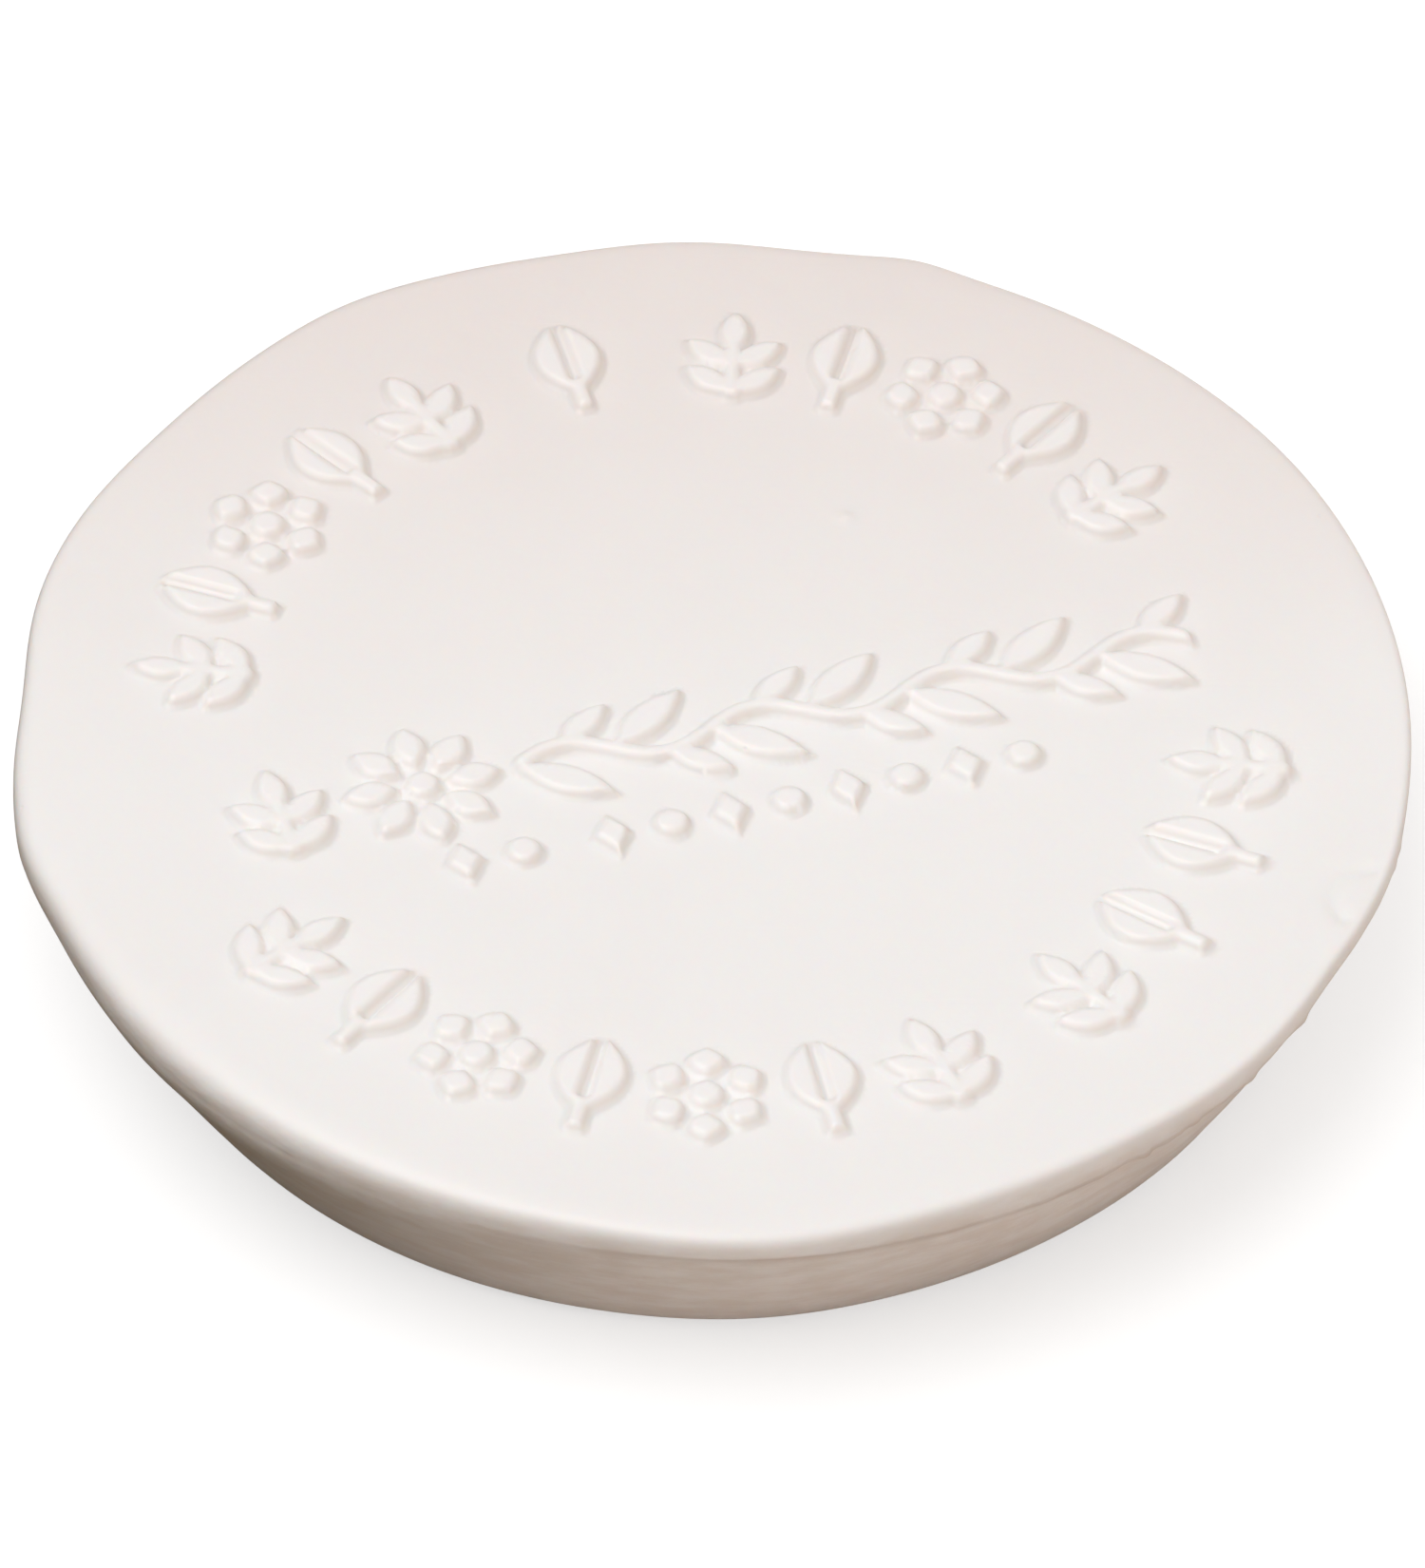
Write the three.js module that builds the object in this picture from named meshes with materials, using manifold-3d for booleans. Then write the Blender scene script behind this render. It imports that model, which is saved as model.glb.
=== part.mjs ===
// Shaving soap puck: one pressed cake of hard soap, with a raised plant ornament on its top face.
// Millimetres, +Z up. The origin is the centre of the flat base.
import * as THREE from 'three';
import Module from 'manifold-3d';
import { mergeVertices } from 'three/addons/utils/BufferGeometryUtils.js';

const { degToRad } = THREE.MathUtils;

// Cake
const CAKE_RADIUS = 44; // at the edge, the widest place
const THICKNESS = 15.6; // from the base to the flat field that carries the ornament
const ROLL_WIDTH = 2; // of the roll between the field and the edge, from above
const ROLL_DROP = 1.45; // from the field down to the edge
const FOOT_ROUND = 3.5; // radius between the side and the base
const SIDE_DRAFT = degToRad(26); // the side leans in by this much towards the base
const ROUND_SEGMENTS = 72;
const ROLL_SEGMENTS = 4; // in each rounded corner of the profile

// Ornament as a whole
const RELIEF_HEIGHT = 0.7; // how far it stands above the field
const RELIEF_ROOT = 0.5; // how deep its blanks reach into the cake before they are joined to it
const RELIEF_TURN = degToRad(16.3); // the die's turn about the cake's axis
const GROUP_GAP = 0.5; // extra room between two groups of motifs, as a share of their pitch
const STEM_WIDTH = 1.1;
const BEAD_RADIUS = 1.1;
const BEAD_SEGMENTS = 10;

// Leaves and petals
const LEAF_WIDTH = 1.9; // of a small leaf
const LONG_LEAF_WIDTH = 2.4; // on the branch
const BLADE_FULLNESS = 0.6; // width of half a broad leaf, as a share of its motif's width
const BLADE_STALK = 0.2; // as a share of the motif's height
const VEIN_GROOVE = 0.6; // between the two halves of a broad leaf
const LEAF_STEPS = 4; // along each side of a leaf
const SPRIG_LEAN = degToRad(38); // of a sprig's side leaves, from its foot line
const SPRIG_LEVELS = [0.04, 0.34]; // where its pairs of leaves start, as shares of its height
const SPRIG_STEM = 0.7; // as a share of its height
const PETAL_GROOVE = 0.5; // round the bead of a flower, and between its petals
const BLOSSOM_PETALS = 6;
const BLOSSOM_SPREAD = 1.25; // a blossom's width, as a share of its motif's
const ROSETTE_PETALS = 8;

// Two garlands on one ring, the upper one standing outwards and the lower one inwards
const GARLAND_MARGIN = 7.4; // from the edge to the ring's outer line
const GARLAND_HEIGHT = 7.8; // across the ring
const GARLAND_SPAN = degToRad(135); // from the first motif's middle to the last one's
const MOTIF_GAP = 0.8; // between two motifs, along the middle of the ring
const UPPER_GROUPS = [
  ['sprig', 'leaf', 'blossom', 'leaf', 'sprig'],
  ['leaf'],
  ['sprig', 'leaf', 'blossom', 'leaf', 'sprig'],
];
const LOWER_GROUPS = [
  ['sprig', 'leaf', 'blossom', 'leaf', 'blossom', 'leaf', 'sprig'],
  ['sprig', 'leaf', 'leaf', 'sprig'],
];

// Frieze across the middle: a sprig, a rosette, and a branch that waves to the other end
const FRIEZE_MARGIN = 12.8; // from the edge to each end of the frieze
const FRIEZE_DROP = 1; // its middle line lies this far below the cake's axis
const FRIEZE_HEIGHT = 7.6;
const SPRIG_WIDTH = 6.2;
const ROSETTE_RADIUS = 5.1;
const ROSETTE_GAP = 1; // between the rosette and its neighbours
const BEND_LENGTH = 6.2; // of the branch, evened out so that whole bends fill the frieze
const BEND_STEPS = 5;
const BRANCH_SWAY = 1.2; // how far the branch swings to either side
const BRANCH_LEAN = degToRad(35); // of its leaves, from the frieze's middle line

// Row of lozenges and beads under the frieze
const ROW_MARGIN = 24.7; // from the edge to each end of the row
const ROW_DROP = 7.2; // from the frieze's middle line down to the row's
const ROW_HEIGHT = 3.4;
const ROW_PITCH = 3.8; // evened out so that whole pairs fill the row
const ROW_PAIR = ['lozenge', 'bead'];
const LOZENGE_WIDTH = 2.4;

const UP = Math.PI / 2; // the angle of +Y, and a quarter turn
const wasm = await Module();
wasm.setup();

// A closed three.js geometry as a solid that can be joined.
function solidOf(geometry) {
  geometry.deleteAttribute('normal');
  geometry.deleteAttribute('uv');
  const merged = mergeVertices(geometry);
  const vertProperties = merged.attributes.position.array;
  const triVerts = new Uint32Array(merged.index.array);
  return new wasm.Manifold(new wasm.Mesh({ numProp: 3, vertProperties, triVerts }));
}

// A joined solid as a three.js geometry with flat faces.
function geometryOf(solid) {
  const { vertProperties, triVerts } = solid.getMesh();
  const indexed = new THREE.BufferGeometry();
  indexed.setAttribute('position', new THREE.BufferAttribute(vertProperties, 3));
  indexed.setIndex(new THREE.BufferAttribute(triVerts, 1));
  const geometry = indexed.toNonIndexed();
  geometry.computeVertexNormals();
  return geometry;
}

// Calls make(0), make(1) and so on, and gives the results as one list.
const repeat = (count, make) => Array.from({ length: count }, (_, i) => make(i));

// The points of an arc about (x, y), from one angle to another. A height makes it part of an ellipse.
function arcPoints(x, y, radius, from, to, steps, height = radius) {
  return repeat(steps + 1, (i) => {
    const angle = from + ((to - from) * i) / steps;
    return new THREE.Vector2(x + radius * Math.cos(angle), y + height * Math.sin(angle));
  });
}

// The plain cake: flat base, round foot, side leaning out to a sharp edge, and a roll up to the field.
function cakeGeometry() {
  const edgeHeight = THICKNESS - ROLL_DROP;
  const sideLean = (edgeHeight - FOOT_ROUND) * Math.tan(SIDE_DRAFT);
  const footCentre = CAKE_RADIUS - sideLean - FOOT_ROUND / Math.cos(SIDE_DRAFT);
  const foot = arcPoints(footCentre, FOOT_ROUND, FOOT_ROUND, -UP, -SIDE_DRAFT, ROLL_SEGMENTS);
  const fieldRadius = CAKE_RADIUS - ROLL_WIDTH;
  const roll = arcPoints(fieldRadius, edgeHeight, ROLL_WIDTH, 0, UP, ROLL_SEGMENTS, ROLL_DROP);
  const axisPoint = (height) => new THREE.Vector2(0, height);
  const profile = [axisPoint(0), ...foot, ...roll, axisPoint(THICKNESS)];
  return new THREE.LatheGeometry(profile, ROUND_SEGMENTS).rotateX(UP);
}

// An outline turned by an angle and then shifted to (x, y).
function placed(outline, x, y, angle) {
  const pivot = new THREE.Vector2();
  const shift = new THREE.Vector2(x, y);
  return outline.map((point) => point.clone().rotateAround(pivot, angle).add(shift));
}

// A pointed oval from its stalk at (x, y) towards an angle, with a parabola on each side.
function leaf(x, y, angle, length, width) {
  const side = (sign, along) => new THREE.Vector2(length * along, sign * 2 * width * along * (1 - along));
  const out = repeat(LEAF_STEPS, (i) => side(-1, i / LEAF_STEPS));
  const back = repeat(LEAF_STEPS, (i) => side(1, 1 - i / LEAF_STEPS));
  return placed([...out, ...back], x, y, angle);
}

// A straight bar from (x, y) towards an angle.
function stem(x, y, angle, length) {
  const half = STEM_WIDTH / 2;
  const corners = [[0, -half], [length, -half], [length, half], [0, half]];
  return placed(corners.map(([u, v]) => new THREE.Vector2(u, v)), x, y, angle);
}

function bead(x, y, radius) {
  return arcPoints(x, y, radius, 0, 2 * Math.PI, BEAD_SEGMENTS).slice(1);
}

function lozenge(x, y, width, height) {
  const corners = [[width, 0], [0, height], [-width, 0], [0, -height]];
  return placed(corners.map(([u, v]) => new THREE.Vector2(u / 2, v / 2)), x, y, 0);
}

// One half of a broad leaf that grows up from (0, y), beside its vein: side is 1 or -1.
function halfBlade(side, y, length, width) {
  const vein = (side * VEIN_GROOVE) / 2;
  return repeat(LEAF_STEPS + 3, (i) => {
    const along = i / (LEAF_STEPS + 2);
    return new THREE.Vector2(vein + side * 4 * width * along * (1 - along), y + length * along);
  });
}

// Petals round a bead at (x, y), with a groove between them and the bead.
function flower(x, y, radius, petals) {
  const root = BEAD_RADIUS + PETAL_GROOVE;
  const width = ((root + radius) * Math.PI) / petals - PETAL_GROOVE;
  const petal = (i) => {
    const angle = UP + (i * 2 * Math.PI) / petals;
    return leaf(x + root * Math.cos(angle), y + root * Math.sin(angle), angle, radius - root, width);
  };
  return [...repeat(petals, petal), bead(x, y, BEAD_RADIUS)];
}

// Each motif is a list of outlines. It stands on y = 0, centred on x = 0.
const motifs = {
  sprig(width, height) {
    const length = width / 2 / Math.cos(SPRIG_LEAN);
    const pairs = SPRIG_LEVELS.flatMap((level) => [
      leaf(0, height * level, SPRIG_LEAN, length, LEAF_WIDTH),
      leaf(0, height * level, Math.PI - SPRIG_LEAN, length, LEAF_WIDTH),
    ]);
    const tip = leaf(0, height - length, UP, length, LEAF_WIDTH);
    return [stem(0, 0, UP, height * SPRIG_STEM), ...pairs, tip];
  },
  leaf(width, height) {
    const stalk = height * BLADE_STALK;
    const blade = (side) => halfBlade(side, stalk, height - stalk, (width * BLADE_FULLNESS) / 2);
    return [blade(-1), blade(1), stem(0, 0, UP, stalk + STEM_WIDTH)];
  },
  blossom(width, height) {
    const radius = Math.min(width * BLOSSOM_SPREAD, height) / 2;
    return flower(0, height / 2, radius, BLOSSOM_PETALS);
  },
  bead: (width, height) => [bead(0, height / 2, BEAD_RADIUS)],
  lozenge: (width, height) => [lozenge(0, height / 2, width, height)],
};

// Sets groups of motifs out over a span centred on 0, at one pitch, with more room between two groups.
function setOut(groups, span) {
  const steps = groups.flatMap((group, g) => group.map((name) => ({ name, extra: g * GROUP_GAP })));
  const inPitches = steps.map(({ extra }, i) => i + extra);
  const pitch = span / inPitches.at(-1);
  const places = steps.map(({ name }, i) => ({ name, at: inPitches[i] * pitch - span / 2 }));
  return { pitch, places };
}

// Motifs in groups along the ring. They stand outwards (1) or inwards (-1), in line from left to right.
function garland(groups, middle, outward) {
  const ring = CAKE_RADIUS - GARLAND_MARGIN - GARLAND_HEIGHT / 2;
  const foot = ring - (outward * GARLAND_HEIGHT) / 2;
  const { pitch, places } = setOut(groups, GARLAND_SPAN);
  return places.flatMap(({ name, at }) => {
    const angle = middle - outward * at;
    const outlines = motifs[name](pitch * ring - MOTIF_GAP, GARLAND_HEIGHT);
    const [x, y] = [foot * Math.cos(angle), foot * Math.sin(angle)];
    return outlines.map((outline) => placed(outline, x, y, angle - outward * UP));
  });
}

// A branch that sways about y = 0 from one x to another, with square ends. Under each bend it bears a
// long leaf, which starts where the bend does, and over the bend a short one.
function branch(from, to) {
  const bends = Math.round((to - from) / BEND_LENGTH);
  const bend = (to - from) / bends;
  const pace = Math.PI / bend;
  const edgePoint = (side, step) => {
    const x = (step * bend) / BEND_STEPS;
    const heading = Math.atan(BRANCH_SWAY * pace * Math.cos(pace * x));
    const middle = new THREE.Vector2(from + x, BRANCH_SWAY * Math.sin(pace * x));
    const across = new THREE.Vector2(-Math.sin(heading), Math.cos(heading));
    return middle.addScaledVector(across, (side * STEM_WIDTH) / 2);
  };
  const steps = bends * BEND_STEPS;
  const lowerEdge = repeat(steps + 1, (step) => edgePoint(-1, step));
  const upperEdge = repeat(steps + 1, (step) => edgePoint(1, steps - step));
  const longLeaf = FRIEZE_HEIGHT / 2 / Math.sin(BRANCH_LEAN);
  const shortLeaf = (FRIEZE_HEIGHT / 2 - BRANCH_SWAY) / Math.sin(BRANCH_LEAN);
  const leaves = repeat(bends, (i) => {
    const side = i % 2 ? -1 : 1;
    const start = from + i * bend;
    return [
      leaf(start, 0, -side * BRANCH_LEAN, longLeaf, LONG_LEAF_WIDTH),
      leaf(start + bend / 2, side * BRANCH_SWAY, side * BRANCH_LEAN, shortLeaf, LEAF_WIDTH),
    ];
  });
  return [[...lowerEdge, ...upperEdge], ...leaves.flat()];
}

// From left to right: a sprig, a rosette and the branch.
function frieze() {
  const half = CAKE_RADIUS - FRIEZE_MARGIN;
  const sprigAt = -half + SPRIG_WIDTH / 2;
  const rosetteAt = -half + SPRIG_WIDTH + ROSETTE_GAP + ROSETTE_RADIUS;
  const sprig = motifs.sprig(SPRIG_WIDTH, FRIEZE_HEIGHT);
  const outlines = [
    ...sprig.map((outline) => placed(outline, sprigAt, -FRIEZE_HEIGHT / 2, 0)),
    ...flower(rosetteAt, 0, ROSETTE_RADIUS, ROSETTE_PETALS),
    ...branch(rosetteAt + ROSETTE_RADIUS + ROSETTE_GAP, half),
  ];
  return outlines.map((outline) => placed(outline, 0, -FRIEZE_DROP, 0));
}

// One pair by itself, and then as many as fit.
function row() {
  const foot = -FRIEZE_DROP - ROW_DROP - ROW_HEIGHT / 2;
  const span = 2 * (CAKE_RADIUS - ROW_MARGIN) - LOZENGE_WIDTH;
  const pairs = Math.round((span / ROW_PITCH - GROUP_GAP - 1) / ROW_PAIR.length);
  const groups = [ROW_PAIR, repeat(pairs, () => ROW_PAIR).flat()];
  return setOut(groups, span).places.flatMap(({ name, at }) => {
    const outlines = motifs[name](LOZENGE_WIDTH, ROW_HEIGHT);
    return outlines.map((outline) => placed(outline, at, foot, 0));
  });
}

// The whole ornament as one solid: each outline is a blank that stands RELIEF_HEIGHT above the field.
function ornamentSolid() {
  const outlines = [
    ...garland(UPPER_GROUPS, UP, 1),
    ...garland(LOWER_GROUPS, -UP, -1),
    ...frieze(),
    ...row(),
  ];
  const blanks = outlines.map((outline) => {
    const shape = new THREE.Shape(placed(outline, 0, 0, RELIEF_TURN));
    const options = { depth: RELIEF_ROOT + RELIEF_HEIGHT, bevelEnabled: false };
    const geometry = new THREE.ExtrudeGeometry(shape, options);
    return solidOf(geometry.translate(0, 0, THICKNESS - RELIEF_ROOT));
  });
  return blanks.reduce((joined, blank) => joined.add(blank));
}

const soap = new THREE.MeshStandardMaterial({ color: 0xf0ece9, roughness: 0.5, metalness: 0 });
const soapCake = new THREE.Mesh(geometryOf(solidOf(cakeGeometry()).add(ornamentSolid())), soap);
soapCake.name = 'soap_cake';

const puck = new THREE.Group();
puck.add(soapCake);
export default puck;
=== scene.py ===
"""Looks of a shaving soap puck: one pressed cake of hard soap with a raised plant ornament on its top.

It is laid out as a Blender add-on and run as a script. Lengths are metres and angles are radians. +Z is
up, and the origin is the centre of the cake's flat base. Plan positions are complex numbers, x + iy.
"""

import math
from typing import Callable, NamedTuple

import bpy
import numpy as np
from mathutils import Euler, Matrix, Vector


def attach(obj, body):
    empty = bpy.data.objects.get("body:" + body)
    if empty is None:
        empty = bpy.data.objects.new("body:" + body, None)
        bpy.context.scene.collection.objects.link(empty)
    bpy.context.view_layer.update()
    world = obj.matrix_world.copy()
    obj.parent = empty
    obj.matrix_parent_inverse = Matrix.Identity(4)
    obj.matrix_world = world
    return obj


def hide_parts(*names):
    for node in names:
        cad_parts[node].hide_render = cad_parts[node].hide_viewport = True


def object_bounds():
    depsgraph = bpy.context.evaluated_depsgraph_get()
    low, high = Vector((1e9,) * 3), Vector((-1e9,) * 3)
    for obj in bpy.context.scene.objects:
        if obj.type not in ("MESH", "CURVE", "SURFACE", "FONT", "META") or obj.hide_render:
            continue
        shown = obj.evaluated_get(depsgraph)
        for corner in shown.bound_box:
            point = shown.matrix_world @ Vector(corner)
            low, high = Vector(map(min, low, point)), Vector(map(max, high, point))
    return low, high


bl_info = {
    "name": "Shaving soap puck",
    "version": (1, 0, 0),
    "blender": (4, 5, 0),
    "location": "View3D > Sidebar > Soap",
    "description": "Builds a pressed shaving soap puck and its stage round the packed frame",
    "category": "Object",
}

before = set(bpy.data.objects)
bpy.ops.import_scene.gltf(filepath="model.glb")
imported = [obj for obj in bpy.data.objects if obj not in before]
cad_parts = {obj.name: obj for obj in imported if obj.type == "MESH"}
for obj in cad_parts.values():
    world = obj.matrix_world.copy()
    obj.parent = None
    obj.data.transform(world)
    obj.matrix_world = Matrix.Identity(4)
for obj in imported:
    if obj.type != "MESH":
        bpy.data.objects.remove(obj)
CAD_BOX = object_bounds()

MM = 0.001
UP = math.pi / 2  # the plan angle of +Y, and a quarter turn

# Cake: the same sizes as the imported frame's
CAKE_RADIUS = (CAD_BOX[1].x - CAD_BOX[0].x) / 2
RELIEF_HEIGHT = 0.7 * MM
THICKNESS = CAD_BOX[1].z - RELIEF_HEIGHT  # from the base to the flat field that carries the ornament
ROLL_WIDTH = 2 * MM  # of the roll between the field and the edge, from above
ROLL_DROP = 1.45 * MM  # from the field down to the edge
ROLL_FULLNESS = 2.6  # the roll's exponent on the front left: 2 is an ellipse, and more is fuller
LEAST_LAND = 0.15 * MM  # height of the upright land under the roll, where it is lowest
LAND_TAPER = 0.06  # how far the land's foot is set in, as a share of its height
SEAM_HEIGHT = 0.3 * MM  # between the land and the side
SIDE_BOW = 0.15 * MM  # how far the middle of the side stands out
SIDE_LUMPS = 0.05 * MM
FOOT_WANDER = 0.12 * MM
FOOT_FOLLOW = 0.3  # share of the rim's bulges that the foot takes part in
CRUMB_FOLLOW = 0.3  # share of the crumbs that the top of the side takes part in
FOOT_ROUND = 3.5 * MM
SIDE_DRAFT = math.radians(26)  # the side leans in by this much towards the base

# Ornament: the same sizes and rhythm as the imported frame's
RELIEF_TURN = math.radians(16.3)  # the die's turn about the cake's axis
GROUP_GAP = 0.5  # extra room between two groups of motifs, as a share of their pitch
STEM_WIDTH = 1.1 * MM
BEAD_RADIUS = 1.1 * MM
LEAF_WIDTH = 1.9 * MM
LONG_LEAF_WIDTH = 2.4 * MM
BLADE_FULLNESS = 0.6  # width of half a broad leaf, as a share of its motif's width
BLADE_STALK = 0.2  # as a share of the motif's height
VEIN_GROOVE = 0.6 * MM
SPRIG_LEAN = math.radians(38)
SPRIG_LEVELS = (0.04, 0.34)  # where its pairs of leaves start, as shares of its height
SPRIG_STEM = 0.7
PETAL_GROOVE = 0.5 * MM
BLOSSOM_PETALS = 6
BLOSSOM_SPREAD = 1.25
ROSETTE_PETALS = 8
GARLAND_MARGIN = 7.4 * MM
GARLAND_HEIGHT = 7.8 * MM
GARLAND_SPAN = math.radians(135)
MOTIF_GAP = 0.8 * MM
UPPER_GROUPS = (
    ("sprig", "broad_leaf", "blossom", "broad_leaf", "sprig"),
    ("broad_leaf",),
    ("sprig", "broad_leaf", "blossom", "broad_leaf", "sprig"),
)
LOWER_GROUPS = (
    ("sprig", "broad_leaf", "blossom", "broad_leaf", "blossom", "broad_leaf", "sprig"),
    ("sprig", "broad_leaf", "broad_leaf", "sprig"),
)
FRIEZE_MARGIN = 12.8 * MM
FRIEZE_DROP = 1 * MM
FRIEZE_HEIGHT = 7.6 * MM
SPRIG_WIDTH = 6.2 * MM
ROSETTE_RADIUS = 5.1 * MM
ROSETTE_GAP = 1 * MM
BEND_LENGTH = 6.2 * MM
BRANCH_SWAY = 1.2 * MM
BRANCH_LEAN = math.radians(35)
ROW_MARGIN = 24.7 * MM
ROW_DROP = 7.2 * MM
ROW_HEIGHT = 3.4 * MM
ROW_GROUPS = (("lozenge", "bead"), ("lozenge", "bead") * 4)
LOZENGE_WIDTH = 2.4 * MM

# How the pressed edges are softened
SHOULDER = 0.27 * MM  # the relief's wall leans over this far to each side of its outline
WEB = 0.15 * MM  # soft soap fills the corners where two marks meet
CORNER = 0.2 * MM  # radius of the corners of stems and blades
CONTOUR_STEP = 0.27 * MM  # the skin's points line up with contours this far apart on the walls

# The skin's grid
GRID = 192  # squares along each side of the square that is bent into the middle disc
DISC_RADIUS = 28 * MM
BAND_RADIUS = 37 * MM  # outside all of the ornament
BAND_RINGS = 33
MARGIN_RINGS = 12
ROLL_RINGS = 11
LAND_RINGS = 3
SIDE_RINGS = 11
FOOT_RINGS = 5
BASE_RINGS = 3
PROBE = 0.02 * MM  # step to each side over which a distance's slope is taken
LEAST_AREA = 0.01 * MM**2  # doubled area of the smallest triangle that a move may leave

# The soap's skin: sizes of its patterns, and the depth of each as a share of BUMP_HEIGHT
PATCH_SIZE = 26 * MM  # of the random patches between the two soap colours
PATCH_STRENGTH = 0.5
SHADED_BACK = 48 * MM  # painted shade and light: the darker, pinker colour is full this far back, and gone at the distance on the next line, where the lighter colour is full
LIT_FRONT = -8 * MM
PRESSED_SHARE = 0.6  # how much of the pressed colour the tops of the relief take
CLOUD_SIZE = 4 * MM
CLOUD_EDGES = (0.3, 0.7)  # noise at which a cloud starts, and at which it is full
SIDE_SHADE = 0.15  # painted shade: how much of the side's darker colour shows between the clouds
CLOUD_TINT = 0.5  # and how much more in them
GRAIN_SIZE = 0.5 * MM
GRAIN_DEPTH = 0.15
SATIN_SPREAD = 0.12  # of the roughness, over the grain
WAVE_SIZE = 2.5 * MM
WAVE_DEPTH = 0.25
DRAG_SIZE = 3 * MM
DRAG_SQUEEZE = 2.5  # the side's clouds and drag marks are this much longer than they are high
PIT_SPACING = 7 * MM
PIT_SHARE = 0.03  # radius of a pinhole as a share of their spacing
PIT_DEPTH = 0.6
SCRATCH_SIZE = 9 * MM
SCRATCH_SQUEEZE = 14
SCRATCH_TURN = math.radians(35)
SCRATCH_EDGES = (0.62, 0.75)
SCRATCH_DEPTH = -0.05
BUMP_HEIGHT = 0.2 * MM
BUMP_STRENGTH = 0.35
SCATTER_COLOURS = (1.0, 0.62, 0.42)  # how far red, green and blue light spread, as shares of the reach
SURFACE_SHARES = ("flank", "shaded_wall", "raised", "seam")
FLANK_FULL = 1.4 * ROLL_DROP  # the side's darker colour, partly painted shade, eases in over the roll and is full this far below the field
SEAM_FADE = (0.25, 0.7, 1, 0.5)  # strength of the seam's painted shadow, ring by ring from above it to below

# Stage
FLOOR_FLAT = 3.0  # the floor is flat out to this radius
FLOOR_RADIUS = 4.2
FLOOR_GAP = 0.02 * MM  # below the cake's base
FLOOR_SPOKES = 96
FLOOR_MIDDLE = 0.05  # radius of its innermost ring
FLAT_RINGS = 12
RISING_RINGS = 24
FLOOR_PATCH = 0.1  # size of the patches of its finish
FLOOR_ROUGHNESS = (0.8, 0.05)  # the least, and how much more in a patch
DIM_LEFT = -0.85 * CAKE_RADIUS  # left of here the light that it throws back is dim
LIT_RIGHT = 0.1 * CAKE_RADIUS  # and right of here it is full
KEY_COLOUR = (1, 0.99, 0.98)
FILL_COLOUR = (1, 0.95, 0.9)
DOME_COLOUR = (0.99, 0.985, 0.99, 1)
LENS = 480  # focal length and sensor width in millimetres
SENSOR = 36
AIM = Vector((0.25 * MM, -5.84 * MM, THICKNESS + RELIEF_HEIGHT / 2))
CAMERA_ROLL = math.radians(0.81)

# Stretches of the edge that differ from the rest: (plan angle, half width) in degrees
FRONT_LEFT = (-134, 38)
FRONT = (-86, 13)
FRONT_RIGHT = (-52, 26)
RIGHT = (-14, 42)
TALL_LAND = (-60, 18)
# The next two: where the seam's painted shadow is darkest, and where it fades out
DARK_SEAM = (-55, 30)
UNSHADOWED_SEAM = (-150, 42)

# Handwork and handling: (plan angle, half width) in degrees and how far the rim stands out or in
RIM_BULGES = (
    (35, 14, 0.2 * MM),
    (73, 4, 0.4 * MM),
    (83, 7, -0.4 * MM),
    (103, 7, -0.25 * MM),
    (122, 8, 0.5 * MM),
    (144, 9, -0.35 * MM),
    (177, 9, -0.78 * MM),
    (195, 5, 0.25 * MM),
    (206, 9, -0.2 * MM),
    (275, 12, 0.8 * MM),
    (318, 8, 0.3 * MM),
    (332, 4, -0.15 * MM),
    (345, 6, 0.2 * MM),
)
# (plan angle, spread) in degrees, number and height of the crumbs under the land
CRUMBS = (
    (-47, 5, 18, 0.22 * MM),
    (-50, 25, 30, 0.10 * MM),
    (150, 60, 30, 0.08 * MM),
)
# (height, length) in millimetres, and direction and start in radians, of the field's long waves
FIELD_WAVES = (
    (0.035, 31, 0.9, 0.4),
    (0.025, 19, 2.3, 1.7),
    (0.012, 9, 0.2, 2.6),
)
# (middle, ring radius, width, height) in millimetres: dots, and one ring that the rim cuts to a crescent
HANDLING_SPOTS = (
    (41.5 - 14.7j, 2.6, 0.4, -0.26),
    (8.4 + 18.4j, 0, 0.5, 0.2),
    (37.6 - 20.2j, 0, 1.0, -0.10),
    (-40.4 + 12.6j, 0, 1.4, -0.12),
    (-39.2 + 15.3j, 0, 0.9, -0.10),
    (23.1 - 4.0j, 0, 0.4, -0.10),
    (-29.3 - 22.5j, 0, 0.4, -0.10),
    (4.0 + 39.5j, 0, 0.7, -0.08),
    (-15.9 + 34.7j, 0, 0.5, -0.08),
)


def cis(angle):
    """The unit step in a plan direction: cosine + i sine."""
    return np.exp(1j * np.asarray(angle))


def eased(share):
    """A share from 0 to 1 that starts and ends gently: 3 s squared less 2 s cubed."""
    share = np.clip(share, 0, 1)
    return share * share * (3 - 2 * share)


def swell(theta, middle, half_width):
    """A soft swell of 1 at a plan angle: e to the minus square of the angle between, in half widths."""
    between = np.angle(cis(theta - math.radians(middle)))
    return np.exp(-((between / math.radians(half_width)) ** 2))


# --- The ornament as distances from its outlines ---


class Mark(NamedTuple):
    """A raised mark: where it starts, which way it points, and its distance function of (u, v).

    u runs along the mark and v across it. The distance is below 0 inside the outline.
    """

    foot: complex
    heading: float
    distance: Callable


def placed(marks, foot, heading):
    """The same marks, turned by an angle and then shifted."""
    return [Mark(foot + m.foot * complex(cis(heading)), m.heading + heading, m.distance) for m in marks]


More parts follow.
